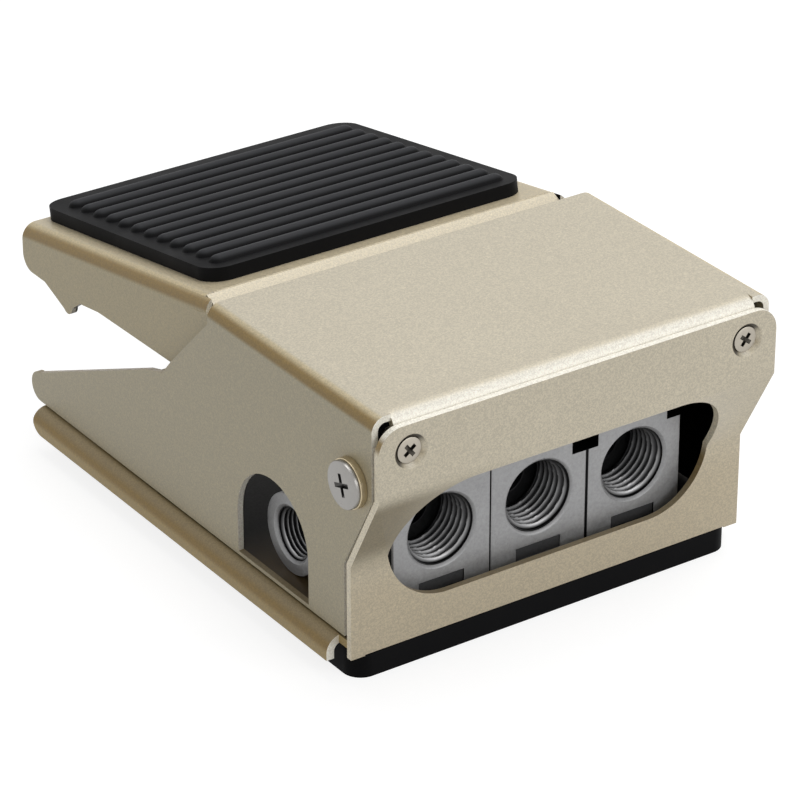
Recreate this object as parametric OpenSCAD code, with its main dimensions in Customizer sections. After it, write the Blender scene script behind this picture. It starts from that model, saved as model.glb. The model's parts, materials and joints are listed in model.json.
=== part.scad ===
// Foot pedal air valve: sheet-metal base and hood, spring-returned pedal and a three-block spool valve.
// The pieces are drawn on the bench with y = 0 on the front plate's face and z = 0 on the floor,
// then moved so that the origin lies under the middle of the whole part.

/* [Overall] */
// Length from the front plate's face to the rear of the pad
overall_length = 120; // [116:0.2:124]
// Running clearance on the radius of parts that turn or slide
running_clearance = 0.05; // [0.03:0.01:0.1]
// Clearance on the radius of a thread or a seated pin
seat_clearance = 0.03; // [0.02:0.01:0.06]
// Clearance on the radius of a screw that passes through a plate
hole_clearance = 0.2; // [0.1:0.05:0.4]

/* [Rubber mat] */
// Height of the mat
mat_h = 6.5; // [5:0.1:9]
// Distance from the base's outer side to the mat's side
mat_inset = 3.5; // [2.5:0.1:5]
// Distance from the front plate's lower face to the mat's front
mat_set_back = 0.4; // [0.2:0.1:1]
// Distance from the base's rear edge to the mat's rear
mat_rear_gap = 1; // [0.5:0.1:2]
// Radius of the mat's corners in plan
mat_corner_r = 3.5; // [3:0.1:6]
// Clearance round a screw head in the mat
head_pocket_gap = 1; // [0.6:0.1:1.2]
// Width of a grip groove across the underside
groove_w = 3; // [2:0.5:4]
// Depth of a grip groove
groove_depth = 1.2; // [0.6:0.1:1.8]
// Distance between grip grooves
groove_pitch = 9; // [7:0.5:12]

/* [Base plate] */
// Width over the bent-down edges
base_w = 86; // [84:0.5:90]
// Thickness of the base sheet
base_t = 1.5; // [1.2:0.1:1.8]
// Rear edge of the base, from the front plate's face
base_rear_y = 109; // [105:0.5:111]
// Front end of the bent-down edges, from the front plate's face
base_flange_y = 11.8; // [11:0.1:14]
// Height of the bent-down edges, from the deck's top
base_flange_h = 4.3; // [3.8:0.1:5]
// Inside radius of the base's bends
base_bend_r = 1.5; // [1:0.1:2]

/* [Front plate] */
// Width of the front plate
plate_w = 81; // [80:0.5:83]
// Thickness of the front plate
plate_t = 1.2; // [1:0.1:1.5]
// Top edge of the front plate, below the hood's top
plate_top_drop = 1.6; // [1.2:0.1:2.4]
// Height of the upper, forward part
plate_upper_h = 12.8; // [12:0.1:14]
// Height of the sloping part between the folds
plate_slope_h = 15.5; // [14:0.1:17]
// Set-back of the lower part behind the upper part
plate_joggle = 8.2; // [7:0.1:9]
// How far the lower edge hangs below the base's sheet
plate_skirt = 1.6; // [1.4:0.1:2]
// Length of the foot that lies under the base
plate_foot = 36; // [34:0.5:40]
// Width of the foot
plate_foot_w = 75.4; // [74:0.2:76]
// How far the ears hang below the lower edge
ear_drop = 0.2; // [0.1:0.1:0.6]
// Radius of the upper corners
plate_top_r = 4.5; // [3:0.1:5]
// Radius of the lower corners
ear_r = 2; // [1.6:0.1:3]
// Width of the window
window_w = 66.6; // [64:0.2:68]
// Top of the window, below the upper fold
window_top_drop = 0.8; // [0.5:0.1:2]
// Bottom of the window, above the base
window_sill = 3.7; // [3:0.1:5]
// Radius of the window's ends
window_r = 12.4; // [10:0.1:12.6]

/* [Hood] */
// Height of the hood above the base
hood_h = 44.4; // [43:0.2:48]
// Width of the hood
hood_w = 80.8; // [80:0.2:82]
// Thickness of the hood's sheet
hood_t = 1.2; // [1:0.1:1.4]
// Inside radius of the hood's bends
hood_bend_r = 1.4; // [1:0.1:1.8]
// Rear edge of the hood's top, from the front plate's face
hood_rear_y = 51.2; // [50:0.1:53]
// Gap between the side panels and the front plate
hood_edge_gap = 0.9; // [0.6:0.1:1.4]
// Gap between the side panels' lower edge and the base
panel_lift = 0.4; // [0.2:0.1:0.6]
// Width of the slot between the front flange and the side panels
corner_slot = 2.5; // [2:0.1:3]
// Height of the flange behind the front plate
hood_flange_h = 11; // [10:0.2:12]
// Lower corner of the side panels' front edge, below the front plate's lower fold
panel_fold_low = 0.2; // [0.1:0.1:0.6]
// Upper corner of the side panels' front edge, below the front plate's upper fold
panel_fold_high = 0.9; // [0.6:0.1:1.2]
// Start of the slanted rear edge, below the hood's top
slant_drop = 3.6; // [3:0.1:4]
// Height of the notch corner above the base
notch_h = 28.6; // [27:0.1:30]
// Sag of the curve between the notch and the wing
notch_sag = 1; // [0.5:0.1:1.5]
// Start of the straight wing, from the front plate's face
wing_root_y = 71.5; // [70:0.5:75]
// Height of the wing at its start
wing_root_h = 23.6; // [22:0.1:25]
// Height of the wing at its end
wing_tip_h = 6.2; // [5.6:0.1:7]
// End of the wings, from the front plate's face
wing_rear_y = 113.2; // [110:0.2:116]
// Middle of the arched opening in the left panel, ahead of the side port
opening_lead = 1.1; // [0.5:0.1:1.5]
// Width of the arched opening
opening_w = 21.8; // [19:0.1:23]
// Height of the arched opening's top above the base
opening_h = 20; // [18:0.1:21]
// Height of the strip under the arched opening
opening_sill = 0.7; // [0.6:0.1:1.2]
// Width of the inner tabs
tab_w = 11; // [10:0.5:12]
// Length of the inner tabs
tab_len = 10; // [8:0.5:12]
// Place of the front tabs, from the front plate's face
tab_front_y = 66; // [64:0.5:70]
// Place of the rear tabs, from the front plate's face
tab_rear_y = 86; // [82:0.5:88]

/* [Valve body] */
// Distance between the front ports
port_pitch = 20; // [19:0.1:21]
// Width of one block
block_w = 20; // [19:0.1:21]
// Depth of the blocks
block_depth = 32.4; // [31:0.1:33]
// Height of the blocks
block_h = 23; // [22:0.1:24]
// Gap between the front plate and the blocks
block_gap = 2.2; // [1.5:0.1:3]
// Chamfer along the joints on the front face
joint_chamfer = 0.3; // [0.2:0.05:0.5]
// Height of the front ports above the base
port_h = 13.3; // [13:0.1:14]
// Radius of a front port at the thread's root
port_r = 6.58; // [6.3:0.02:6.8]
// Depth of a front port's thread
port_depth = 9.5; // [8:0.1:10]
// Width of the chamfer at a port's mouth
port_chamfer = 0.5; // [0.3:0.05:0.8]
// Radius of the drilling behind a front port
port_drill_r = 3.6; // [3:0.1:4]
// Width of the recessed panel under a front port
panel_w = 9.2; // [8:0.1:10]
// Height of the recessed panel
panel_h = 2.4; // [2:0.1:2.8]
// Depth of the recessed panel
panel_depth = 0.4; // [0.2:0.05:0.6]
// Bottom of the recessed panel above the base
panel_z = 2; // [1.6:0.1:2.6]
// Side port, from the front plate's face
side_port_y = 33; // [32.5:0.1:34]
// Height of the side port above the base
side_port_h = 7.5; // [7.5:0.1:8]
// Radius of the side boss
boss_r = 7.4; // [7:0.1:7.4]
// Length of the side boss
boss_len = 6; // [4:0.1:6.2]
// Radius of the side port at the thread's root
side_port_r = 4.87; // [4.6:0.02:5]
// Depth of the side port's thread
side_port_depth = 8; // [6.5:0.1:8.4]
// Radius of the supply gallery
gallery_r = 2; // [1.6:0.1:2]
// End of the supply gallery past the right-hand joint
gallery_end = 4; // [3.6:0.1:5]
// Depth of the casting reliefs in the blocks' upper corners
corner_relief_depth = 4; // [3:0.2:6]
// Height of the casting relief at the right-hand joint
corner_relief_h = 3.8; // [3:0.1:4]
// Width of a casting relief in its own block
corner_relief_w = 3.1; // [2.6:0.1:3.4]
// Width of the relief past the right-hand joint
joint_relief_w = 2.3; // [2:0.1:2.6]
// Height of the relief at the right-hand end
end_relief_h = 3.1; // [2.6:0.1:3.4]
// Front and rear tie bolts, behind the blocks' front face
tie_back = [9.4, 25.9]; // [8:0.1:28]
// Front and rear tie bolts, above the base
tie_rise = [3.4, 18]; // [3.2:0.1:19]

/* [Spool] */
// Place of the spool's axis behind the blocks' front face
spool_back = 14.9; // [14.6:0.1:15.2]
// Radius of the spool's bore
spool_bore_r = 4; // [3.8:0.05:4.1]
// Radius of the spool's stem
stem_r = 3; // [2.6:0.1:3.1]
// Radius of the spool's waists
waist_r = 2.6; // [2.2:0.1:2.8]
// Seals from the left end of the spool's body
seal_from_left = [2, 8]; // [1.5:0.5:10]
// Seals from the right end of the spool's body
seal_from_right = [18, 2]; // [1.5:0.5:20]
// Starts of the waists, from the left end of the spool's body
waist_from = [12, 29]; // [10:0.5:32]
// Lengths of the waists
waist_len = [12, 11]; // [8:0.5:12]
// Wall left behind the blind end of the spool's bore
bore_end_wall = 4; // [3.5:0.1:5]
// Length of the spool's body
spool_len = 44.5; // [43:0.1:45]
// How far the nose stands out of the right block
nose_out = 6; // [5.6:0.1:6.2]
// Radius of the spring's pocket in the spool
pocket_r = 2.7; // [2.6:0.05:2.8]
// Depth of the spring's pocket
pocket_depth = 7; // [5:0.5:8]
// Radius of the spool spring's coil, to the middle of the wire
spool_spring_r = 2.2; // [2:0.05:2.3]
// Wire of the spool spring
spool_wire = 0.6; // [0.5:0.05:0.7]
// Turns of the spool spring
spool_turns = 7; // [6:1:9]
// Radius of an O-ring's section
seal_r = 0.5; // [0.4:0.02:0.5]
// Gap between an O-ring and the bore inside it
seal_gap = 0.1; // [0.05:0.01:0.15]
// Radius of a spanner hole in the gland
spanner_r = 0.7; // [0.5:0.1:0.8]
// Depth of a spanner hole
spanner_depth = 0.8; // [0.6:0.1:1]
// Radius of the gland
gland_r = 6.2; // [5.6:0.1:6.6]
// Length of the gland
gland_len = 3.2; // [2.8:0.1:3.2]

/* [Pedal] */
// Slope of the pedal's top
pedal_tilt = 9.8; // [9:0.1:11]
// Start of the pedal's flat top, from the front plate's face
pedal_bend_y = 58.2; // [57.6:0.1:60]
// Height of the flat top's start, below the hood's top
pedal_drop = 1.9; // [1.7:0.1:2.8]
// Thickness of the pedal's sheet
pedal_t = 1.2; // [1:0.1:1.3]
// Gap between the pedal's flanges and the hood's panels
pedal_gap = 1.3; // [1:0.1:1.6]
// Inside radius of the pedal's side bends
pedal_bend_r = 1.6; // [1.2:0.1:2]
// How far the side bends run past the start of the flat top
bend_lead = 2.2; // [1:0.1:3]
// Height of the pivot, below the hood's top
pivot_drop = 13.7; // [13:0.1:14.2]
// Pivot, from the front plate's face
pivot_y = 7.6; // [7.4:0.1:8.2]
// Radius of the pedal's arms round the pivot
eye_r = 4.4; // [4:0.1:4.6]
// Height of the flange's rear end, below the pivot
flange_rear_drop = 7.1; // [6.6:0.1:7.4]
// Radius of the flange's rear corner
flange_corner_r = 3; // [2:0.1:3.4]
// Start of the flanges, ahead of the start of the flat top
flange_lead = 8; // [7:0.1:9]
// Hook, ahead of the rear end
hook_back = 15.6; // [14:0.1:17]
// Hook's tip, below the pivot
hook_drop = 10.2; // [9.6:0.1:10.4]
// Radius of the hook's tip
hook_r = 1.7; // [1.4:0.1:2]
// Corners of the slope ahead of the hook's tip
hook_lead = [11, 4.6]; // [4:0.1:12]
// Drop of those corners below the arms
hook_lead_drop = [1, 2]; // [0.5:0.1:2.5]
// Corners of the slope behind the hook's tip
hook_trail = [5.3, 8]; // [4:0.1:9]
// Drop of the first of those corners below the flange's rear end
hook_trail_drop = 1; // [0.5:0.1:1.5]
// How far the arms run into the flanges
arm_lap = 6; // [5:0.1:7]
// Step in the arms' top beside the tongue
arm_step = 2; // [1.5:0.1:2.5]
// Length of the taper in the arms' top
arm_taper = 12; // [10:0.5:14]
// Slope of the pedal's front strip
strip_tilt = 24; // [18:0.5:28]
// Length of the front strip in plan
strip_len = 3.6; // [3:0.1:4]
// Length of the front strip that lies under the flat top
strip_lap = 4; // [3:0.5:5]
// Gap between the front strip and the arms
strip_gap = 0.4; // [0.3:0.1:0.6]
// Front of the spring tongue, from the front plate's face
tongue_front_y = 45.6; // [45:0.1:46.4]
// Gap between the tongue's stop lip and the hood
stop_gap = 0.3; // [0.2:0.05:0.5]
// Bend radius of the tongue, to the middle of the sheet
tongue_bend_r = 1.6; // [1.4:0.1:2]

/* [Pedal pad] */
// Width of the pad
pad_w = 66.4; // [64:0.2:68]
// How far the pad stands out past the pedal's rear
pad_overhang = 1.2; // [0.8:0.1:1.6]
// Pad's front edge, behind the start of the flat top
pad_front = 3; // [2:0.1:3.4]
// Thickness of the pad's sheet
pad_t = 2.5; // [1.6:0.1:2.8]
// Radius of the pad's corners
pad_corner_r = 4.4; // [3:0.1:6]
// Number of ribs
rib_count = 12; // [10:1:13]
// Border between the ribs and the pad's sides
rib_border = 2.4; // [2:0.1:3]
// Border between the ribs and the pad's front
rib_front_border = 2; // [1.6:0.1:3]
// Border between the ribs and the pad's rear
rib_rear_border = 4.1; // [3:0.1:5]
// Radius of a rib
rib_r = 1.75; // [1.5:0.05:1.9]
// Height of a rib above the pad's sheet
rib_h = 1.1; // [0.8:0.1:1.4]

/* [Cam] */
// Slope of the cam's face, from the spool's axis
cam_angle = 45; // [45:1:45]
// Travel of the spool that the cam gives
cam_travel = 4.31; // [4.2:0.01:4.4]
// Gap between the cam and the spool's nose
cam_gap = 0.15; // [0.1:0.05:0.3]
// Height of the cam above its lower tip
cam_h = 10.6; // [10:0.2:11]
// Margin of the cam round the nose's path
cam_margin = 0.2; // [0.1:0.05:0.4]
// Distance from the cam's ends to the rivets
cam_edge = 2.6; // [2.2:0.1:3]
// Distance from the cam's top to the rivets
cam_top_edge = 2.4; // [2:0.1:2.8]
// Margin of the arm's lobe round the cam
lobe_margin = 0.6; // [0.4:0.1:1]
// Radius of the lobe's corners
lobe_r = 1.5; // [1:0.1:2]
// Radius of a cam rivet
rivet_r = 1.2; // [1:0.1:1.4]

/* [Springs and fasteners] */
// Pedal spring, from the front plate's face
spring_y = 50.6; // [50.2:0.1:51]
// Radius of the pedal spring's coil, to the middle of the wire
spring_r = 4; // [3.8:0.1:4.2]
// Wire of the pedal spring
spring_wire = 1; // [0.8:0.05:1.2]
// Turns of the pedal spring
spring_turns = 8; // [6:1:9]
// Height of the spring seat's flange
seat_h = 1.2; // [1:0.1:1.6]
// Height of the spigots inside the pedal spring
spigot_h = 4; // [3:0.1:5]
// Radius of an M3 screw
m3_r = 1.5; // [1.4:0.05:1.6]
// Radius of an M3 pan head
m3_head_r = 2.8; // [2.6:0.1:3]
// Height of an M3 pan head
m3_head_h = 1.9; // [1.6:0.1:2.2]
// Width across the flats of an M3 nut
m3_nut_af = 5.5; // [5:0.1:5.5]
// Height of an M3 nut
m3_nut_h = 2.4; // [2:0.1:2.4]
// Length of a screw's end past its nut
thread_out = 0.6; // [0.4:0.1:1]
// Space past a screw's end in a blind hole
hole_end_gap = 0.3; // [0.2:0.1:0.5]
// Radius of a tie bolt
tie_r = 1.5; // [1.4:0.05:1.6]
// Radius of a tie bolt's head
tie_head_r = 2.75; // [2.6:0.05:2.8]
// Height of a tie bolt's head
tie_head_h = 3; // [2.6:0.1:3.2]
// Width across the flats of a tie nut
tie_nut_af = 5.5; // [5:0.1:5.6]
// Height of a tie nut
tie_nut_h = 2.4; // [2:0.1:2.6]
// Front screws, from the middle
front_screw_x = 34.2; // [33.8:0.1:34.4]
// Front screws, below the front plate's top
front_screw_drop = 5; // [4.8:0.1:5.4]
// Radius of the countersink round a front screw
countersink_r = 3.2; // [3:0.05:3.4]
// Radius of a front screw's head
front_head_r = 2.65; // [2.4:0.05:2.7]
// Depth of a front screw's head below the plate's face
front_head_sink = 0.35; // [0.3:0.05:0.4]
// Radius of a pivot screw's head
pivot_head_r = 4.2; // [3.8:0.1:4.4]
// Height of a pivot screw's head
pivot_head_h = 0.9; // [0.8:0.1:1.4]
// Radius of a pivot bush's barrel
bush_r = 2.6; // [2.4:0.05:2.7]
// Radius of a pivot bush's flange
bush_flange_r = 4.4; // [4.3:0.1:4.8]
// Thickness of a pivot bush's flange
bush_flange_t = 1.3; // [0.8:0.1:1.6]
// End play of the pedal on a pivot bush
pivot_play = 0.2; // [0.1:0.05:0.3]
// Thickness of a pivot washer
washer_t = 0.8; // [0.6:0.1:1]
// Body screws, from the front plate's face
body_screw_y = [15, 38]; // [14:0.5:40]
// Length of a body screw's thread in a block
body_screw_len = 5.2; // [4:0.1:5.4]

/* [Hidden] */
$fn = 64;
champagne = [0.78, 0.74, 0.65];
rubber = [0.12, 0.12, 0.13];
cast_grey = [0.66, 0.66, 0.67];
zinc = [0.8, 0.8, 0.82];
brass = [0.78, 0.62, 0.3];
eps = 0.01;
lap = 1;
far = 400;
seal_fit = 0.02;

base_top = mat_h + base_t;
hood_top = base_top + hood_h;
pivot_z = hood_top - pivot_drop;
plate_top = hood_top - plate_top_drop;
fold_upper_z = plate_top - plate_upper_h;
fold_lower_z = fold_upper_z - plate_slope_h;
foot_z = mat_h - plate_t;
plate_low = mat_h - plate_skirt;
ear_low = plate_low - ear_drop;
window_top = fold_upper_z - window_top_drop;
window_bottom = base_top + window_sill;
front_screw_z = plate_top - front_screw_drop;
mat_w = base_w - 2 * mat_inset;
mat_front_y = plate_joggle + mat_set_back;
mat_rear_y = base_rear_y - mat_rear_gap;

hood_in = hood_w / 2 - hood_t;
panel_low_z = base_top + panel_lift;
hood_front_y = plate_t;
panel_upper_y = plate_t + hood_edge_gap;
panel_lower_y = plate_joggle + plate_t + hood_edge_gap;
notch_z = base_top + notch_h;
notch_y = hood_rear_y + hood_top - slant_drop - notch_z;
tab_x = hood_in - tab_w / 2;

block_front_y = plate_joggle + plate_t + block_gap;
block_rear_y = block_front_y + block_depth;
body_half = 1.5 * block_w;
joint_x = block_w / 2;
port_z = base_top + port_h;
side_port_z = base_top + side_port_h;
boss_x = body_half + boss_len;
spool_y = block_front_y + spool_back;
spool_z = port_z;
bore_end_x = -body_half + bore_end_wall;
gland_x = body_half - gland_len;
spool_right_x = gland_x - running_clearance;
spool_left_x = spool_right_x - spool_len;
land_r = spool_bore_r - seat_clearance;
nose_x = body_half + nose_out - stem_r;
gallery_x = joint_x + gallery_end;
tie_bolt_yz = [for (i = [0, 1]) [block_front_y + tie_back[i], base_top + tie_rise[i]]];

pedal_half = hood_in - pedal_gap;
pedal_in = pedal_half - pedal_t;
pedal_top_z = hood_top - pedal_drop;
pedal_rear_y = overall_length - pad_overhang;
pedal_slope_len = (pedal_rear_y - pedal_bend_y) / cos(pedal_tilt);
strip_front_y = pedal_bend_y - strip_len;
tongue_z = pedal_top_z - pedal_t / 2 - strip_len * tan(strip_tilt);
bend_low_z = pedal_top_z - pedal_t - pedal_bend_r;
hook_y = pedal_rear_y - hook_back;
hook_z = pivot_z - hook_drop + hook_r;
arm_low_z = pivot_z - eye_r;
pad_reach = (overall_length - pedal_bend_y - pad_t * sin(pedal_tilt)) / cos(pedal_tilt);
pad_len = pad_reach - pad_front;

cam_plane = nose_x + spool_z + (stem_r + cam_gap) / cos(cam_angle);
cam_tip_z = cam_plane - pedal_in;
cam_left_x = nose_x + stem_r * cos(cam_angle) - cam_travel - cam_margin;
cam_front_y = spool_y - stem_r - cam_margin;
cam_rear_y = spool_y + stem_r + cam_travel - cam_margin;
cam_rivet_z = cam_tip_z + cam_h - cam_top_edge;
cam_rivet_y = [cam_front_y + cam_edge, cam_rear_y - cam_edge];

spring_low_z = base_top + seat_h;
spring_high_z = tongue_z - pedal_t / 2;
bush_in_x = pedal_in - pivot_play;

// Moves the bench frame to the part's frame
module in_frame() {
    translate([0, -overall_length / 2, 0]) children();
}

// Extrudes a (y, z) outline along x, centred
module along_x(w) {
    rotate([90, 0, 90]) linear_extrude(w, center = true) children();
}

// Extrudes a (y, z) outline from x0 to x1
module between_x(x0, x1) {
    translate([(x0 + x1) / 2, 0, 0]) along_x(x1 - x0) children();
}

// Extrudes an (x, z) outline from y0 to y1
module between_y(y0, y1) {
    translate([0, y1, 0]) rotate([90, 0, 0]) linear_extrude(y1 - y0) children();
}

// Cylinder along x from x0 to x1 at (y, z)
module rod_x(x0, x1, r, y, z) {
    translate([x0, y, z]) rotate([0, 90, 0]) cylinder(h = x1 - x0, r = r);
}

// Cylinder along y from y0 to y1 at (x, z)
module rod_y(y0, y1, r, x, z) {
    translate([x, y0, z]) rotate([-90, 0, 0]) cylinder(h = y1 - y0, r = r);
}

// Copies the children to both sides
module both_sides() {
    for (side = [0, 1]) mirror([side, 0, 0]) children();
}

// Rectangle between two corners
module rect(x0, y0, x1, y1) {
    translate([x0, y0]) square([x1 - x0, y1 - y0]);
}

// Rectangle between two corners with round corners
module round_rect(x0, y0, x1, y1, r) {
    rect(x0 + r, y0, x1 - r, y1);
    rect(x0, y0 + r, x1, y1 - r);
    for (x = [x0 + r, x1 - r], y = [y0 + r, y1 - r]) translate([x, y]) circle(r);
}

function unit(v) = v / norm(v);
function left_of(v) = [-v.y, v.x];
function turn_of(u, v) = sign(u.x * v.y - u.y * v.x);
function mitre(u, v) = (left_of(u) + left_of(v)) / (1 + u * v);

// Outline of a bent sheet that follows a path along its middle line. radii has one middle radius for
// each corner of the path, and 0 leaves a sharp fold.
module bent_sheet(path, radii, t) {
    n = len(path) - 1;
    dirs = [for (i = [0:n - 1]) unit(path[i + 1] - path[i])];
    sides = [
        for (i = [0:n])
            i == 0 ? left_of(dirs[0]) : i == n ? left_of(dirs[n - 1]) : mitre(dirs[i - 1], dirs[i])
    ];
    difference() {
        union() {
            polygon(concat([for (i = [0:n]) path[i] + sides[i] * t / 2],
                [for (i = [n:-1:0]) path[i] - sides[i] * t / 2]));
            for (i = [1:n - 1]) if (radii[i - 1] > 0)
                bend_corner(path[i], dirs[i - 1], dirs[i], radii[i - 1], t, true);
        }
        for (i = [1:n - 1]) if (radii[i - 1] > 0)
            bend_corner(path[i], dirs[i - 1], dirs[i], radii[i - 1], t, false);
    }
}

// Web inside a bend, or the waste outside it, for a sheet that turns from u to v at p
module bend_corner(p, u, v, r, t, inside) {
    s = turn_of(u, v);
    c = p - u * r * tan(acos(u * v) / 2) + s * left_of(u) * r;
    out = -s * mitre(u, v) * t / 2;
    edge = inside ? r - t / 2 : r + t / 2;
    near = [c - s * left_of(u) * edge, p + (inside ? 1 : 2) * out, c - s * left_of(v) * edge];
    difference() {
        polygon(inside ? near : concat([c], near));
        translate(c) circle(edge);
    }
}

// Torus about an axis along x at (y, z)
module o_ring(x, ring_r, y, z) {
    translate([x, y, z]) rotate([0, 90, 0]) rotate_extrude() translate([ring_r, 0]) circle(seal_r, $fn = 24);
}

// Hexagonal nut along x with a bore
module hex_x(x0, x1, flats, bore_r, y, z) {
    translate([x0, y, z]) rotate([0, 90, 0]) rotate(30) difference() {
        cylinder(h = x1 - x0, d = flats / cos(30), $fn = 6);
        translate([0, 0, -lap]) cylinder(h = x1 - x0 + 2 * lap, r = bore_r);
    }
}

// Compression spring standing on z = 0 with closed ends
module coil(r, wire, height, turns) {
    steps = 20;
    sides = 8;
    n = steps * turns;
    rise = height - wire;
    closed = wire * 1.04;
    function lift(t) = t < 1 ? t * closed
        : t > turns - 1 ? rise - (turns - t) * closed
        : closed + (t - 1) * (rise - 2 * closed) / (turns - 2);
    points = [
        for (i = [0:n], j = [0:sides - 1])
            let (a = 360 * i / steps, b = 360 * j / sides, q = r + wire / 2 * cos(b))
            [q * cos(a), q * sin(a), wire / 2 + lift(i / steps) + wire / 2 * sin(b)]
    ];
    walls = [
        for (i = [0:n - 1], j = [0:sides - 1])
            let (k = (j + 1) % sides)
            [i * sides + j, i * sides + k, (i + 1) * sides + k, (i + 1) * sides + j]
    ];
    start = [for (j = [0:sides - 1]) sides - 1 - j];
    end = [for (j = [0:sides - 1]) n * sides + j];
    polyhedron(points, concat([start], [end], [for (w = walls) [w[3], w[2], w[1], w[0]]]));
}

// Places where screws pass up through the base
module body_screw_places() {
    for (x = [-port_pitch, port_pitch], y = body_screw_y) translate([x, y, 0]) children();
}

module tab_screw_places() {
    for (x = [-tab_x, tab_x], y = [tab_front_y, tab_rear_y]) translate([x, y, 0]) children();
}

module rubber_mat() {
    half = mat_w / 2;
    grooves = floor((mat_rear_y - mat_front_y - 2 * mat_corner_r) / groove_pitch);
    middle_y = (mat_front_y + mat_rear_y) / 2;
    color(rubber) difference() {
        linear_extrude(mat_h) round_rect(-half, mat_front_y, half, mat_rear_y, mat_corner_r);
        translate([-half - lap, mat_front_y - lap, foot_z])
            cube([mat_w + 2 * lap, plate_joggle + plate_foot + hole_clearance - mat_front_y + lap,
                plate_t + lap]);
        translate([-half - lap, mat_front_y - lap, ear_low - hole_clearance])
            cube([mat_w + 2 * lap, plate_joggle + plate_t + hole_clearance - mat_front_y + lap, mat_h]);
        for (i = [0:grooves])
            translate([0, middle_y + (i - grooves / 2) * groove_pitch, groove_depth / 2])
                cube([mat_w - 2 * mat_corner_r, groove_w, groove_depth + eps], center = true);
        for_screw_heads() cylinder(h = 3 * mat_h, r = m3_head_r + head_pocket_gap, center = true);
    }
}

module for_screw_heads() {
    body_screw_places() children();
    tab_screw_places() children();
}

module base_plate() {
    half = base_w / 2 - base_t / 2;
    deck_z = base_top - base_t / 2;
    low_z = base_top - base_flange_h;
    corner_r = base_flange_h * 0.7;
    bend_r = base_bend_r + base_t / 2;
    color(champagne) difference() {
        union() {
            between_y(base_flange_y, base_rear_y)
                bent_sheet([[-half, low_z], [-half, deck_z], [half, deck_z], [half, low_z]],
                    [bend_r, bend_r], base_t);
            translate([-plate_w / 2, plate_joggle + plate_t, mat_h])
                cube([plate_w, base_flange_y + lap - plate_joggle - plate_t, base_t]);
        }
        along_x(far) difference() {
            rect(base_rear_y - corner_r, low_z - lap, base_rear_y + lap, low_z + corner_r);
            translate([base_rear_y - corner_r, low_z + corner_r]) circle(corner_r);
        }
        for_screw_heads() cylinder(h = far, r = m3_r + hole_clearance, center = true);
        translate([0, spring_y, 0]) cylinder(h = far, r = m3_r + seat_clearance, center = true);
    }
}

// Middle line of the front plate, from the top down to its lower edge
function plate_line(low) = [
    [plate_t / 2, plate_top],
    [plate_t / 2, fold_upper_z],
    [plate_joggle + plate_t / 2, fold_lower_z],
    [plate_joggle + plate_t / 2, low]
];

module front_plate() {
    half = plate_w / 2;
    foot_half = plate_foot_w / 2;
    color(champagne) difference() {
        intersection() {
            union() {
                along_x(plate_foot_w) bent_sheet(plate_line(plate_low), [0, 0], plate_t);
                both_sides() between_x(foot_half, half) bent_sheet(plate_line(ear_low), [0, 0], plate_t);
                translate([-foot_half, plate_joggle + plate_t / 2, foot_z])
                    cube([plate_foot_w, plate_foot - plate_t / 2, plate_t]);
            }
            union() {
                between_y(-lap, block_front_y) union() {
                    round_rect(-half, ear_low, half, ear_low + 4 * ear_r, ear_r);
                    rect(-half, ear_low + 2 * ear_r, half, plate_top - 2 * plate_top_r);
                    round_rect(-half, plate_top - 4 * plate_top_r, half, plate_top, plate_top_r);
                }
                translate([-half, plate_joggle, 0]) cube([plate_w, far, mat_h]);
            }
        }
        between_y(-lap, block_front_y)
            round_rect(-window_w / 2, window_bottom, window_w / 2, window_top, window_r);
        both_sides() translate([front_screw_x, 0, front_screw_z]) rotate([-90, 0, 0]) {
            translate([0, 0, -lap]) cylinder(h = far, r = m3_r + hole_clearance);
            cylinder(h = plate_t, r1 = countersink_r, r2 = m3_r + hole_clearance);
        }
        body_screw_places() cylinder(h = 2 * mat_h, r = m3_r + hole_clearance);
    }
}

// Side outline of the hood
module hood_outline() {
    tip_r = (wing_tip_h - panel_lift) / 2;
    polygon([
        [panel_lower_y, panel_low_z],
        [panel_lower_y, fold_lower_z - panel_fold_low],
        [panel_upper_y, fold_upper_z - panel_fold_high],
        [panel_upper_y, hood_top + lap],
        [hood_rear_y, hood_top + lap],
        [hood_rear_y, hood_top - slant_drop],
        [notch_y, notch_z],
        [(notch_y + wing_root_y) / 2 - notch_sag, (notch_z + base_top + wing_root_h) / 2 - notch_sag],
        [wing_root_y, base_top + wing_root_h],
        [wing_rear_y - tip_r, base_top + wing_tip_h],
        [wing_rear_y - tip_r, panel_low_z]
    ]);
    translate([wing_rear_y - tip_r, panel_low_z + tip_r]) circle(tip_r);
}

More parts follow.
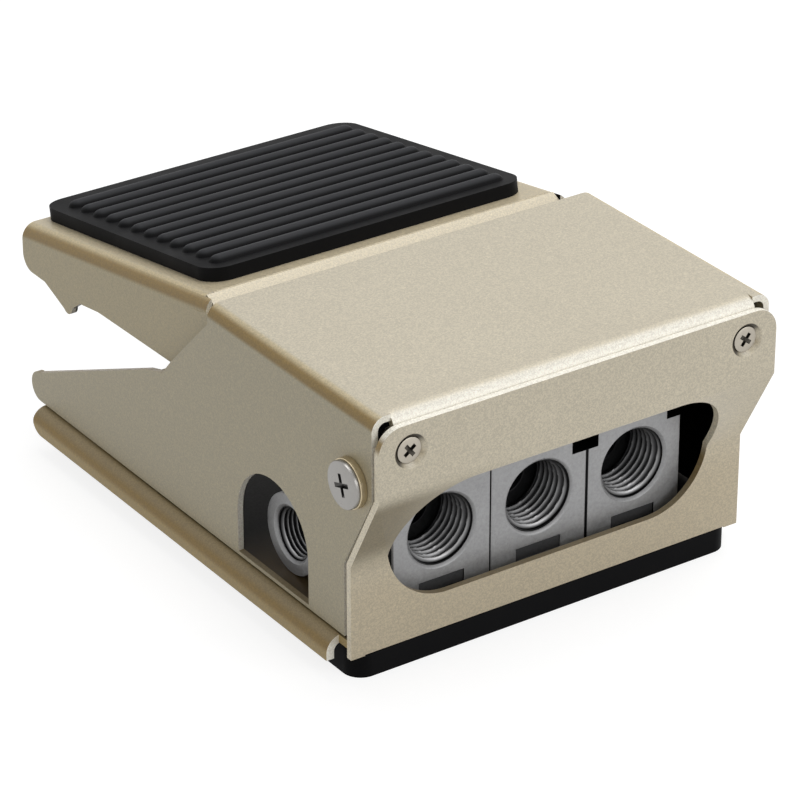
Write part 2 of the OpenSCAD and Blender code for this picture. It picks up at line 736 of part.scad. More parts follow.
module hood() {
    half = hood_w / 2 - hood_t / 2;
    top_mid = hood_top - hood_t / 2;
    bend_r = hood_bend_r + hood_t / 2;
    flange_mid = hood_front_y + hood_t / 2;
    flange_half = hood_in - corner_slot;
    bend_rear_y = hood_front_y + hood_t + hood_bend_r;
    arch_r = opening_w / 2;
    arch_y = side_port_y - opening_lead;
    arch_z = base_top + opening_h - arch_r;
    color(champagne) difference() {
        union() {
            difference() {
                intersection() {
                    between_y(0, overall_length)
                        bent_sheet([[-half, base_top], [-half, top_mid], [half, top_mid], [half, base_top]],
                            [bend_r, bend_r], hood_t);
                    along_x(far) hood_outline();
                }
                translate([-flange_half, 0, base_top]) cube([2 * flange_half, bend_rear_y, far]);
            }
            along_x(2 * flange_half)
                bent_sheet([[flange_mid, hood_top - hood_flange_h], [flange_mid, top_mid],
                    [bend_rear_y + lap, top_mid]], [bend_r], hood_t);
            both_sides() for (y = [tab_front_y, tab_rear_y])
                translate([hood_in - tab_w, y - tab_len / 2, base_top])
                    cube([tab_w + eps, tab_len, hood_t]);
        }
        between_x(-far, -hood_in + lap) intersection() {
            rect(arch_y - arch_r, panel_low_z + opening_sill, arch_y + arch_r, hood_top);
            union() {
                rect(arch_y - arch_r, base_top, arch_y + arch_r, arch_z);
                translate([arch_y, arch_z]) circle(arch_r);
            }
        }
        rod_x(-far, far, bush_r + seat_clearance, pivot_y, pivot_z);
        both_sides()
            rod_y(0, bend_rear_y, m3_r + seat_clearance, front_screw_x, front_screw_z);
        tab_screw_places() cylinder(h = far, r = m3_r + seat_clearance, center = true);
    }
}

module front_screws() {
    head_depth = plate_t - front_head_sink - seat_clearance;
    end_y = hood_front_y + hood_t + m3_nut_h + thread_out;
    color(zinc) both_sides() translate([front_screw_x, front_head_sink, front_screw_z]) rotate([-90, 0, 0]) {
        cylinder(h = head_depth, r1 = front_head_r, r2 = m3_r);
        cylinder(h = end_y - front_head_sink, r = m3_r);
    }
}

module front_nuts() {
    nut_y = hood_front_y + hood_t;
    color(zinc) both_sides() translate([front_screw_x, nut_y, front_screw_z])
        rotate([-90, 0, 0]) difference() {
            cylinder(h = m3_nut_h, d = m3_nut_af / cos(30), $fn = 6);
            translate([0, 0, -lap]) cylinder(h = m3_nut_h + 2 * lap, r = m3_r + seat_clearance);
        }
}

// Pan-head screw that points up, with its head under z = 0
module pan_screw(length) {
    translate([0, 0, -m3_head_h]) cylinder(h = m3_head_h, r = m3_head_r);
    translate([0, 0, -m3_head_h]) cylinder(h = m3_head_h + length, r = m3_r);
}

module hood_screws() {
    color(zinc) tab_screw_places() translate([0, 0, mat_h]) pan_screw(base_t + hood_t + thread_out);
}

module body_screws() {
    color(zinc) body_screw_places() translate([0, 0, foot_z]) pan_screw(plate_t + base_t + body_screw_len);
}

// Bores shared by the three blocks
module block_bores() {
    rod_x(bore_end_x, far, spool_bore_r, spool_y, spool_z);
    rod_x(gland_x, far, gland_r, spool_y, spool_z);
    rod_x(-boss_x - lap, gallery_x, gallery_r, side_port_y, side_port_z);
    rod_x(-boss_x - lap, -boss_x + side_port_depth, side_port_r, side_port_y, side_port_z);
    translate([gallery_x - gallery_r, side_port_y, side_port_z])
        rotate([atan2(side_port_y - spool_y, spool_z - side_port_z), 0, 0])
            cylinder(h = norm([spool_y - side_port_y, spool_z - side_port_z]), r = gallery_r * 0.8);
    for (yz = tie_bolt_yz) rod_x(-far, far, tie_r + hole_clearance, yz[0], yz[1]);
    for (x = [-port_pitch, 0, port_pitch]) {
        rod_y(0, block_front_y + port_depth, port_r, x, port_z);
        rod_y(0, spool_y, port_drill_r, x, port_z);
        translate([x, block_front_y, port_z]) rotate([-90, 0, 0])
            cylinder(h = port_chamfer, r1 = port_r + port_chamfer, r2 = port_r);
        translate([x - panel_w / 2, block_front_y - lap, base_top + panel_z])
            cube([panel_w, lap + panel_depth, panel_h]);
    }
    body_screw_places() translate([0, 0, base_top - lap])
        cylinder(h = lap + body_screw_len + hole_end_gap, r = m3_r + seat_clearance);
}

// Casting from x0 to x1 with chamfered joint edges on its front face
module block_casting(x0, x1) {
    c = joint_chamfer;
    translate([0, 0, base_top]) linear_extrude(block_h)
        polygon([
            [x0 + c, block_front_y], [x1 - c, block_front_y], [x1, block_front_y + c],
            [x1, block_rear_y], [x0, block_rear_y], [x0, block_front_y + c]
        ]);
}

// Counterbores for the O-rings in the left face of a block at x
module seal_pockets(x) {
    pocket = 2 * seal_r + seal_fit;
    rod_x(x - eps, x + pocket, spool_bore_r + pocket + seal_gap, spool_y, spool_z);
    rod_x(x - eps, x + pocket, gallery_r + pocket + seal_gap, side_port_y, side_port_z);
}

// Relief in an upper front corner, w wide and deep enough to clear a drop of h
module corner_relief(x, w, h) {
    translate([x, block_front_y - lap, base_top + block_h - h]) cube([w, corner_relief_depth + lap, h + lap]);
}

module valve_block_left() {
    color(cast_grey) difference() {
        union() {
            block_casting(-body_half, -joint_x);
            rod_x(-boss_x, -body_half + lap, boss_r, side_port_y, side_port_z);
        }
        block_bores();
        translate([-boss_x, side_port_y, side_port_z]) rotate([0, 90, 0])
            cylinder(h = port_chamfer, r1 = side_port_r + port_chamfer, r2 = side_port_r);
    }
}

module valve_block_centre() {
    color(cast_grey) difference() {
        block_casting(-joint_x, joint_x);
        block_bores();
        seal_pockets(-joint_x);
        corner_relief(joint_x - corner_relief_w, corner_relief_w + lap, corner_relief_h);
    }
}

module valve_block_right() {
    color(cast_grey) difference() {
        block_casting(joint_x, body_half);
        block_bores();
        seal_pockets(joint_x);
        corner_relief(joint_x - lap, joint_relief_w + lap, corner_relief_h);
        corner_relief(body_half - corner_relief_w, corner_relief_w + lap, end_relief_h);
    }
}

module block_seals() {
    color(rubber) for (x = [-joint_x, joint_x]) {
        o_ring(x + seal_r + seal_fit / 2, spool_bore_r + seal_r + seal_gap, spool_y, spool_z);
        o_ring(x + seal_r + seal_fit / 2, gallery_r + seal_r + seal_gap, side_port_y, side_port_z);
    }
}

module tie_bolts() {
    end_x = -body_half - tie_nut_h - thread_out;
    color(zinc) for (yz = tie_bolt_yz) {
        rod_x(end_x, body_half + tie_head_h, tie_r, yz[0], yz[1]);
        difference() {
            rod_x(body_half, body_half + tie_head_h, tie_head_r, yz[0], yz[1]);
            hex_x(body_half + tie_head_h / 2, body_half + tie_head_h + lap,
                tie_head_r * 0.86, 0, yz[0], yz[1]);
        }
    }
}

module tie_nuts() {
    color(zinc) for (yz = tie_bolt_yz)
        hex_x(-body_half - tie_nut_h, -body_half, tie_nut_af, tie_r + seat_clearance, yz[0], yz[1]);
}

module spool_gland() {
    groove_x = gland_x + gland_len / 2;
    bore_r = stem_r + running_clearance;
    spanner_place = (gland_r + bore_r) / 2 + seal_r / 2;
    color(brass) difference() {
        rod_x(gland_x, body_half, gland_r - seat_clearance, spool_y, spool_z);
        rod_x(gland_x - lap, body_half + lap, bore_r, spool_y, spool_z);
        rod_x(groove_x - seal_r - seal_fit, groove_x + seal_r + seal_fit, bore_r + 2 * seal_r + seal_fit,
            spool_y, spool_z);
        for (side = [-1, 1])
            rod_x(body_half - spanner_depth, body_half + lap,
                spanner_r, spool_y + side * spanner_place, spool_z);
    }
}

module gland_seal() {
    color(rubber) o_ring(gland_x + gland_len / 2, stem_r + running_clearance + seal_r, spool_y, spool_z);
}

// Places of the spool's seals and waists, from the body's left end
function seal_places() = concat(seal_from_left, [for (d = seal_from_right) spool_len - d]);
function waists() = [for (i = [0, 1]) [waist_from[i], waist_from[i] + waist_len[i]]];

module spool() {
    groove = seal_r + seal_fit;
    color(zinc) difference() {
        union() {
            rod_x(spool_left_x, spool_right_x, land_r, spool_y, spool_z);
            rod_x(spool_right_x - lap, nose_x, stem_r, spool_y, spool_z);
            translate([nose_x, spool_y, spool_z]) sphere(stem_r);
        }
        rod_x(spool_left_x - lap, spool_left_x + pocket_depth, pocket_r, spool_y, spool_z);
        for (w = waists()) ring_cut(spool_left_x + w[0], spool_left_x + w[1], waist_r);
        for (p = seal_places()) ring_cut(spool_left_x + p - groove, spool_left_x + p + groove,
            land_r - 2 * seal_r - seal_fit);
    }
}

// Groove round the spool down to the radius r
module ring_cut(x0, x1, r) {
    difference() {
        rod_x(x0, x1, spool_bore_r + lap, spool_y, spool_z);
        rod_x(x0 - lap, x1 + lap, r, spool_y, spool_z);
    }
}

module spool_seals() {
    color(rubber) for (p = seal_places()) o_ring(spool_left_x + p, land_r - seal_r, spool_y, spool_z);
}

module spool_spring() {
    length = spool_left_x + pocket_depth - bore_end_x - 2 * running_clearance;
    color(zinc) translate([bore_end_x + running_clearance, spool_y, spool_z]) rotate([0, 90, 0])
        coil(spool_spring_r, spool_wire, length, spool_turns);
}

module pivot_screws() {
    head_x = hood_w / 2 + bush_flange_t;
    end_x = bush_in_x - washer_t - m3_nut_h - thread_out;
    color(zinc) both_sides() {
        rod_x(head_x, head_x + pivot_head_h, pivot_head_r, pivot_y, pivot_z);
        rod_x(end_x, head_x + pivot_head_h / 2, m3_r, pivot_y, pivot_z);
    }
}

module pivot_bushes() {
    color(brass) both_sides() difference() {
        union() {
            rod_x(bush_in_x, hood_w / 2 + bush_flange_t / 2, bush_r, pivot_y, pivot_z);
            rod_x(hood_w / 2, hood_w / 2 + bush_flange_t, bush_flange_r, pivot_y, pivot_z);
        }
        rod_x(0, far, m3_r + seat_clearance, pivot_y, pivot_z);
    }
}

module pivot_washers() {
    color(zinc) both_sides() difference() {
        rod_x(bush_in_x - washer_t, bush_in_x, eye_r, pivot_y, pivot_z);
        rod_x(0, far, m3_r + seat_clearance, pivot_y, pivot_z);
    }
}

module pivot_nuts() {
    nut_x = bush_in_x - washer_t;
    color(zinc) both_sides()
        hex_x(nut_x - m3_nut_h, nut_x, m3_nut_af, m3_r + seat_clearance, pivot_y, pivot_z);
}

// Outline of a pedal flange behind the arms, open at its top
module flange_outline() {
    rear_low_z = pivot_z - flange_rear_drop;
    polygon([
        [pedal_bend_y - flange_lead, arm_low_z],
        [hook_y - hook_lead[0], arm_low_z - hook_lead_drop[0]],
        [hook_y - hook_lead[1], arm_low_z - hook_lead_drop[1]],
        [hook_y - hook_r, hook_z],
        [hook_y + hook_r * 0.7, hook_z - hook_r * 0.7],
        [hook_y + hook_trail[0], rear_low_z - hook_trail_drop],
        [hook_y + hook_trail[1], rear_low_z],
        [pedal_rear_y - flange_corner_r, rear_low_z],
        [pedal_rear_y, rear_low_z + flange_corner_r],
        [pedal_rear_y, hood_top],
        [pedal_bend_y - flange_lead, hood_top]
    ]);
    translate([hook_y, hook_z]) circle(hook_r);
    translate([pedal_rear_y - flange_corner_r, rear_low_z + flange_corner_r]) circle(flange_corner_r);
}

// Outline of a pedal arm, from the pivot's eye to the flange
module arm_outline() {
    front_z = tongue_z + pedal_t / 2;
    translate([pivot_y, pivot_z]) circle(eye_r);
    polygon([
        [pivot_y, arm_low_z],
        [pedal_bend_y + arm_lap, arm_low_z],
        [pedal_bend_y + arm_lap, bend_low_z - arm_lap * tan(pedal_tilt)],
        [pedal_bend_y, bend_low_z],
        [strip_front_y - lap, front_z],
        [tongue_front_y, front_z - arm_step],
        [tongue_front_y - arm_taper, pivot_z + eye_r],
        [pivot_y, pivot_z + eye_r]
    ]);
}

// Lobe under the right arm that carries the cam
module cam_lobe() {
    round_rect(cam_front_y - lobe_margin, cam_tip_z,
        cam_rear_y + lobe_margin, arm_low_z + 2 * lobe_r, lobe_r);
}

// Local frame of the pedal's sloping top
module on_pedal_top() {
    translate([0, pedal_bend_y, pedal_top_z]) rotate([-pedal_tilt, 0, 0]) children();
}

module pedal_plate() {
    half = pedal_half - pedal_t / 2;
    top_mid = -pedal_t / 2;
    bend_r = pedal_bend_r + pedal_t / 2;
    slope = [cos(pedal_tilt), -sin(pedal_tilt)];
    top_start = [pedal_bend_y, pedal_top_z] + [-sin(pedal_tilt), -cos(pedal_tilt)] * pedal_t / 2;
    strip_end = [strip_front_y, tongue_z];
    bend_in = pedal_in - strip_gap / 2;
    lip_y = tongue_front_y + pedal_t / 2;
    color(champagne) difference() {
        union() {
            difference() {
                intersection() {
                    on_pedal_top() between_y(-bend_lead, pedal_slope_len + hood_h)
                        bent_sheet([[-half, -hood_h], [-half, top_mid], [half, top_mid], [half, -hood_h]],
                            [bend_r, bend_r], pedal_t);
                    along_x(far) flange_outline();
                }
                on_pedal_top() translate([-bend_in, -hood_h, -hood_h])
                    cube([2 * bend_in, hood_h, 2 * hood_h]);
            }
            both_sides() between_x(pedal_in, pedal_half) arm_outline();
            between_x(pedal_in, pedal_half) cam_lobe();
            along_x(2 * (pedal_in - pedal_bend_r - strip_gap))
                bent_sheet([top_start + slope * strip_lap, top_start, strip_end], [tongue_bend_r], pedal_t);
            along_x(2 * (pedal_in - strip_gap))
                bent_sheet([top_start, strip_end, [lip_y, tongue_z],
                    [lip_y, hood_top - hood_t - stop_gap]], [tongue_bend_r, tongue_bend_r], pedal_t);
        }
        rod_x(-far, far, bush_r + running_clearance, pivot_y, pivot_z);
        translate([0, spring_y, tongue_z])
            cylinder(h = 3 * pedal_t, r = m3_r + seat_clearance, center = true);
        for (y = cam_rivet_y) rod_x(0, far, rivet_r + seat_clearance, y, cam_rivet_z);
    }
}

// Rib along x with round ends, standing on the pad's sheet
module pad_rib(length) {
    rotate([0, 90, 0]) rotate_extrude() intersection() {
        rect(0, -length / 2, rib_r, length / 2);
        union() {
            rect(0, -length / 2 + rib_r, rib_r, length / 2 - rib_r);
            for (s = [-1, 1]) translate([0, s * (length / 2 - rib_r)]) circle(rib_r);
        }
    }
}

module pedal_pad() {
    half = pad_w / 2;
    rib_len = pad_w - 2 * rib_border;
    pitch = (pad_len - rib_front_border - rib_rear_border) / rib_count;
    color(rubber) on_pedal_top() translate([0, pad_front, 0]) difference() {
        union() {
            linear_extrude(pad_t) round_rect(-half, 0, half, pad_len, pad_corner_r);
            for (i = [0:rib_count - 1])
                translate([0, rib_front_border + (i + 0.5) * pitch, pad_t + rib_h - rib_r]) pad_rib(rib_len);
        }
        translate([-pad_w, -lap, -2 * rib_r]) cube([2 * pad_w, pad_len + 2 * lap, 2 * rib_r]);
    }
}

module spool_cam() {
    color(zinc) difference() {
        between_y(cam_front_y, cam_rear_y)
            polygon([
                [pedal_in, cam_tip_z], [pedal_in, cam_tip_z + cam_h], [cam_left_x, cam_tip_z + cam_h],
                [cam_left_x, cam_plane - cam_left_x]
            ]);
        for (y = cam_rivet_y) rod_x(0, far, rivet_r + seat_clearance, y, cam_rivet_z);
    }
}

module cam_rivets() {
    color(zinc) for (y = cam_rivet_y) rod_x(cam_left_x, pedal_half, rivet_r, y, cam_rivet_z);
}

module pedal_spring() {
    color(zinc) translate([0, spring_y, spring_low_z])
        coil(spring_r, spring_wire, spring_high_z - spring_low_z, spring_turns);
}

module spring_seat() {
    color(zinc) translate([0, spring_y, base_top]) {
        translate([0, 0, -base_t]) cylinder(h = base_t + seat_h, r = m3_r);
        cylinder(h = seat_h, r = spring_r + spring_wire);
        cylinder(h = seat_h + spigot_h, r = spring_r - spring_wire / 2 - hole_clearance);
    }
}

module spring_stud() {
    color(zinc) translate([0, spring_y, spring_high_z]) {
        translate([0, 0, -spigot_h]) cylinder(h = spigot_h, r = spring_r - spring_wire / 2 - hole_clearance);
        translate([0, 0, -lap]) cylinder(h = pedal_t + lap, r = m3_r);
    }
}

in_frame() rubber_mat();
in_frame() base_plate();
in_frame() front_plate();
in_frame() hood();
in_frame() front_screws();
in_frame() front_nuts();
in_frame() hood_screws();
in_frame() body_screws();
in_frame() valve_block_left();
in_frame() valve_block_centre();
in_frame() valve_block_right();
in_frame() block_seals();
in_frame() tie_bolts();
in_frame() tie_nuts();
in_frame() spool_gland();
in_frame() gland_seal();
in_frame() spool();
in_frame() spool_seals();
in_frame() spool_spring();
in_frame() pivot_screws();
in_frame() pivot_bushes();
in_frame() pivot_washers();
in_frame() pivot_nuts();
in_frame() pedal_plate();
in_frame() pedal_pad();
in_frame() spool_cam();
in_frame() cam_rivets();
in_frame() pedal_spring();
in_frame() spring_seat();
in_frame() spring_stud();
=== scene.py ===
"""Looks of the foot pedal air valve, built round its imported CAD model. Lengths are in metres."""

import json
import math

import bmesh
import bpy
from mathutils import Matrix, Vector


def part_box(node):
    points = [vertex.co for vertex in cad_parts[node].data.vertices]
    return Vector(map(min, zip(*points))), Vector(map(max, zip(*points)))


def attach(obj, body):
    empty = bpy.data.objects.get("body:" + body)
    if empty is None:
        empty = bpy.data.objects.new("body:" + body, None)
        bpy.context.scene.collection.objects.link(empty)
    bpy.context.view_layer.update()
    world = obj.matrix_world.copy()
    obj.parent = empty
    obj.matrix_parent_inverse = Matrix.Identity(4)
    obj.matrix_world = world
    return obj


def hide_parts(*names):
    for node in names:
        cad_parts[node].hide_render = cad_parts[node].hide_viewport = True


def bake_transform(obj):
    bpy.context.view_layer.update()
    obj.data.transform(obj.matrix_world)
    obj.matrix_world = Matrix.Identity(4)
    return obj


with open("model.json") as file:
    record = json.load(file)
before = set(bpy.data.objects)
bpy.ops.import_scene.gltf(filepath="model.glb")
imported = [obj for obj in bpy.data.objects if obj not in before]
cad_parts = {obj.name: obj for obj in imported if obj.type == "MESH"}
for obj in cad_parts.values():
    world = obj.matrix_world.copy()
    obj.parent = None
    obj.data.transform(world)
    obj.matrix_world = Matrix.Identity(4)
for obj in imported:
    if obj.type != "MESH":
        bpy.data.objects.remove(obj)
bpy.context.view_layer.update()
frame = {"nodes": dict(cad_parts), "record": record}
MM = 0.001


# Places and sizes on the CAD model

def corners(node):
    """Lowest and highest corner of a CAD node."""
    return [Vector(corner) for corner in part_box(node)]


base_low, base_high = corners("base_plate")
hood_high = corners("hood")[1]
plate_low, plate_high = corners("front_plate")
block_low, block_high = corners("valve_block_centre")
blocks_end = corners("valve_block_right")[1].x
ports = [mount for mount in frame["record"]["mounts"] if mount["kind"] == "threaded_hole"]
supply = Vector([port["pos_m"] for port in ports if port["name"] == "side_port"][0])

# Sizes in part.scad that the frame doesn't give
HOOD_T = 1.2 * MM
PLATE_UPPER_H = 12.8 * MM
PLATE_SLOPE_H = 15.5 * MM
fold_upper = plate_high.z - PLATE_UPPER_H
fold_lower = fold_upper - PLATE_SLOPE_H
COUNTERSINK_R = 3.2 * MM
BOSS_R = 7.4 * MM

PEDAL_TILT = math.radians(9.8)
pad_up = Vector((0, math.sin(PEDAL_TILT), math.cos(PEDAL_TILT)))
rib_top = max(pad_up.dot(vert.co) for vert in frame["nodes"]["pedal_pad"].data.vertices)


# Shader building blocks

def new_material(name, colour, metallic=0.0, roughness=0.5, specular=0.5):
    mat = bpy.data.materials.new(name)
    mat.use_nodes = True
    tree = mat.node_tree
    shader = tree.nodes["Principled BSDF"]
    shader.inputs["Base Color"].default_value = (*colour, 1)
    shader.inputs["Metallic"].default_value = metallic
    shader.inputs["Roughness"].default_value = roughness
    shader.inputs["Specular IOR Level"].default_value = specular
    return mat, tree, shader


def add(tree, kind, **values):
    node = tree.nodes.new(kind)
    for key, value in values.items():
        if key in node.inputs:
            node.inputs[key].default_value = value
        else:
            setattr(node, key, value)
    return node


def place_coords(tree):
    return add(tree, "ShaderNodeTexCoord").outputs["Object"]


def facing_axes(tree):
    """The x, y and z of the way that a face looks."""
    return axes_of(tree, add(tree, "ShaderNodeTexCoord").outputs["Normal"])


def axes_of(tree, vector):
    node = add(tree, "ShaderNodeSeparateXYZ")
    tree.links.new(vector, node.inputs[0])
    return node.outputs["X"], node.outputs["Y"], node.outputs["Z"]


def attribute(tree, name):
    return add(tree, "ShaderNodeAttribute", attribute_name=name).outputs["Fac"]


def noise(tree, coords, scale, detail=2.0, roughness=0.5):
    node = add(tree, "ShaderNodeTexNoise", Scale=scale, Detail=detail, Roughness=roughness)
    tree.links.new(coords, node.inputs["Vector"])
    return node.outputs["Fac"]


def cells(tree, coords, scale):
    node = add(tree, "ShaderNodeTexVoronoi", Scale=scale)
    tree.links.new(coords, node.inputs["Vector"])
    split = add(tree, "ShaderNodeSeparateColor")
    tree.links.new(node.outputs["Color"], split.inputs["Color"])
    return split.outputs["Red"]


def math_node(tree, operation, a, b=0):
    node = add(tree, "ShaderNodeMath", operation=operation)
    for socket, value in zip(node.inputs, (a, b)):
        if isinstance(value, (int, float)):
            socket.default_value = value
        else:
            tree.links.new(value, socket)
    return node.outputs[0]


def product(tree, *factors):
    result = factors[0]
    for factor in factors[1:]:
        result = math_node(tree, "MULTIPLY", result, factor)
    return result


def distance(tree, across, up):
    """Distance from an axis, from the two parts at right angles to it."""
    squares = [math_node(tree, "MULTIPLY", part, part) for part in (across, up)]
    return math_node(tree, "SQRT", math_node(tree, "ADD", *squares))


def between(tree, factor, low, high, start=0.3, end=0.7):
    """Low at start, high at end and level beyond; start and end suit a noise."""
    node = add(tree, "ShaderNodeMapRange")
    tree.links.new(factor, node.inputs["Value"])
    node.inputs["From Min"].default_value = start
    node.inputs["From Max"].default_value = end
    node.inputs["To Min"].default_value = low
    node.inputs["To Max"].default_value = high
    return node.outputs["Result"]


def ramp(tree, value, start, end):
    """0 at start, 1 at end, smooth between and level beyond."""
    node = add(tree, "ShaderNodeMapRange", interpolation_type="SMOOTHSTEP")
    tree.links.new(value, node.inputs["Value"])
    node.inputs["From Min"].default_value = start
    node.inputs["From Max"].default_value = end
    return node.outputs["Result"]


def blend_colour(tree, factor, a, b):
    node = add(tree, "ShaderNodeMix", data_type="RGBA")
    tree.links.new(factor, node.inputs[0])
    for socket, value in ((node.inputs[6], a), (node.inputs[7], b)):
        if isinstance(value, tuple):
            socket.default_value = (*value, 1)
        else:
            tree.links.new(value, socket)
    return node.outputs[2]


def scaled_colour(tree, colour, factor):
    node = add(tree, "ShaderNodeVectorMath", operation="SCALE")
    tree.links.new(colour, node.inputs[0])
    tree.links.new(factor, node.inputs["Scale"])
    return node.outputs[0]


def bump(tree, shader, height, strength, depth):
    node = add(tree, "ShaderNodeBump", Strength=strength, Distance=depth)
    tree.links.new(height, node.inputs["Height"])
    tree.links.new(node.outputs["Normal"], shader.inputs["Normal"])


# Paint

# Painted highlight on edges and bends facing the front, and on the front plate's top edge.
PAINTED_HIGHLIGHT = (0.98, 0.94, 0.83)
# Painted reflection in dark gold on the lower halves of the side bends, painted highlight on their upper
# halves.
BEND_REFLECTION = (0.29, 0.185, 0.05)
BEND_HIGHLIGHT = (0.60, 0.49, 0.28)
# Painted shade: brown on upward faces low down, dull brown within the hood, and near black where no light
# reaches.
LOW_FACE_SHADE = (0.33, 0.25, 0.13)
INSIDE_SHADE = (0.11, 0.075, 0.035)
UNLIT = (0.012, 0.010, 0.008)


def paint_material(name, face, side, own_layers):
    """Champagne sparkle paint with orange peel, with painted light on the sideways faces (shade on most
    sheets, a highlight on the front plate), a painted highlight on the upper half of each side bend and a
    painted reflection in dark gold on its lower half, then the sheet's own layers.
    """
    metallic = 0.12
    mat, tree, shader = new_material(name, face, metallic, 0.44)
    coords = place_coords(tree)
    turn = facing_axes(tree)
    sideways = math_node(tree, "ABSOLUTE", turn[0])
    drift = noise(tree, coords, scale=60, detail=3)
    tone = blend_colour(tree, drift, face, tuple(0.94 * part for part in face))
    # Painted shade: faces turned sideways take the side colour, darker than the face on the hood, base and
    # pedal; on the front plate the side colour is a painted highlight.
    tone = blend_colour(tree, ramp(tree, sideways, 0.6, 0.95), tone, side)
    # Painted highlight on the upper half of each side bend, then painted reflection in dark gold on the
    # lower half.
    upper_bend = product(tree, ramp(tree, sideways, 0.1, 0.4), ramp(tree, turn[2], 0.4, 0.7), 0.75)
    tone = blend_colour(tree, upper_bend, tone, BEND_HIGHLIGHT)
    lower_bend = product(tree, ramp(tree, sideways, 0.4, 0.75), ramp(tree, turn[2], 0.03, 0.35), 0.9)
    tone = blend_colour(tree, lower_bend, tone, BEND_REFLECTION)
    layers, hidden = own_layers(tree, axes_of(tree, coords), turn)
    for factor, colour in layers:
        tone = blend_colour(tree, factor, tone, colour)
    # In the unlit painted shade metallic goes to 1, so the dark colour takes no diffuse light.
    if hidden:
        tree.links.new(between(tree, hidden, metallic, 1.0, 0, 1), shader.inputs["Metallic"])
    flakes = cells(tree, coords, scale=4600)
    sparks = ramp(tree, cells(tree, coords, scale=3100), 0.92, 0.97)
    bright = math_node(tree, "ADD", between(tree, flakes, 0.90, 1.09), product(tree, sparks, 0.1))
    tree.links.new(scaled_colour(tree, tone, bright), shader.inputs["Base Color"])
    tree.links.new(between(tree, flakes, 0.36, 0.48), shader.inputs["Roughness"])
    bump(tree, shader, noise(tree, coords, scale=1500), strength=0.12, depth=0.05 * MM)
    return mat


def cover_layers(tree, place, turn):
    """Painted highlight on the front edges, painted shade in brown on upward faces well below the roof, and
    painted shade on the deck and walls within the hood.
    """
    x, y, z = place
    wall, roof = hood_high.x - HOOD_T, hood_high.z - HOOD_T
    width = math_node(tree, "ABSOLUTE", x)
    # Painted highlight on edges facing the front.
    front_edge = ramp(tree, turn[1], -0.3, -0.7)
    below_roof = ramp(tree, z, hood_high.z - 3.4 * MM, hood_high.z - 4.4 * MM)
    # Painted shade: upward faces well below the roof turn brown.
    brown = product(tree, ramp(tree, turn[2], 0.5, 0.8), below_roof, 0.85)
    under_wall = product(tree, ramp(tree, width, hood_high.x - 0.2 * MM, hood_high.x - 0.4 * MM),
                         ramp(tree, z, base_high.z + 0.3 * MM, base_high.z + 0.1 * MM))
    inner = ramp(tree, width, wall + 0.15 * MM, wall + 0.05 * MM)
    inner = math_node(tree, "MAXIMUM", inner, under_wall)
    behind_front = ramp(tree, y, base_low.y, base_low.y + 0.4 * MM)
    before_rear = ramp(tree, y, 24 * MM, 8 * MM)
    # Painted shade within the hood: dull brown on the deck lit through the side opening, near black
    # everywhere else, where metallic also goes to 1.
    within = product(tree, inner, behind_front, before_rear, ramp(tree, z, roof, roof - 0.2 * MM))
    lit_deck = product(tree, ramp(tree, turn[2], 0.7, 0.95), ramp(tree, x, 0, -blocks_end),
                       ramp(tree, y, supply.y + 17 * MM, supply.y + 5 * MM))
    unlit = math_node(tree, "SUBTRACT", within, product(tree, within, lit_deck))
    return [(front_edge, PAINTED_HIGHLIGHT), (brown, LOW_FACE_SHADE), (within, INSIDE_SHADE), (unlit, UNLIT)], unlit


def pedal_layers(tree, place, turn):
    """Painted highlight on the edges to the front, and painted shade underneath and on the inward faces."""
    front_edge = ramp(tree, turn[1], -0.3, -0.7)
    inward = ramp(tree, product(tree, place[0], turn[0]), -1 * MM, -6 * MM)
    # Painted shade on the underside and inward faces, where metallic also goes to 1.
    under = math_node(tree, "MAXIMUM", inward, ramp(tree, turn[2], -0.5, -0.8))
    return [(front_edge, PAINTED_HIGHLIGHT), (under, UNLIT)], under


def plate_layers(tree, place, turn):
    """Painted shade, darker and warmer, low down under the slope; painted shade in brown where it slopes
    under and on upward faces; a painted highlight on the top edge; painted shade in the shaded half of the
    countersinks.
    """
    x, y, z = place
    front = ramp(tree, turn[1], -0.5, -0.8)
    # Painted shade on the front low down, under the slope.
    low_down = product(tree, front, ramp(tree, z, fold_lower + 7.5 * MM, fold_lower - 8.5 * MM))
    to_the_left = between(tree, x, 0.1, 0.9, -10 * MM, -35 * MM)
    # Painted shade in brown on the slope, strongest to the left.
    slope = product(tree, front, ramp(tree, z, fold_lower - 3.5 * MM, fold_lower + 4.5 * MM),
                    ramp(tree, z, fold_upper + 1.5 * MM, fold_upper - 3 * MM), to_the_left)
    # Painted shade in brown on upward faces, and a painted highlight on the top edge.
    upward = ramp(tree, turn[2], 0.5, 0.8)
    top_edge = product(tree, upward, ramp(tree, z, fold_upper + 2 * MM, fold_upper + 4 * MM))
    low, high = corners("front_screws")
    radius, level = (high.z - low.z) / 2, (high.z + low.z) / 2
    across = math_node(tree, "SUBTRACT", math_node(tree, "ABSOLUTE", x), high.x - radius)
    off = distance(tree, across, math_node(tree, "SUBTRACT", z, level))
    # Painted shade in the half of each countersink that faces away from the light.
    shaded = ramp(tree, math_node(tree, "SUBTRACT", turn[0], turn[2]), -0.5, 0.1)
    sunk = product(tree, ramp(tree, off, COUNTERSINK_R + 0.1 * MM, COUNTERSINK_R - 0.05 * MM), shaded,
                   ramp(tree, y, plate_low.y + 0.08 * MM, plate_low.y + 0.2 * MM))
    # Layer colours: painted shade low down, on the slope and on upward faces; painted highlight on the top
    # edge; painted shade in the countersinks.
    return [(low_down, (0.565, 0.485, 0.345)), (slope, (0.19, 0.155, 0.09)), (upward, (0.36, 0.28, 0.16)),
            (top_edge, PAINTED_HIGHLIGHT), (sunk, (0.05, 0.04, 0.025))], None


# Rubber, cast metal and turned metal

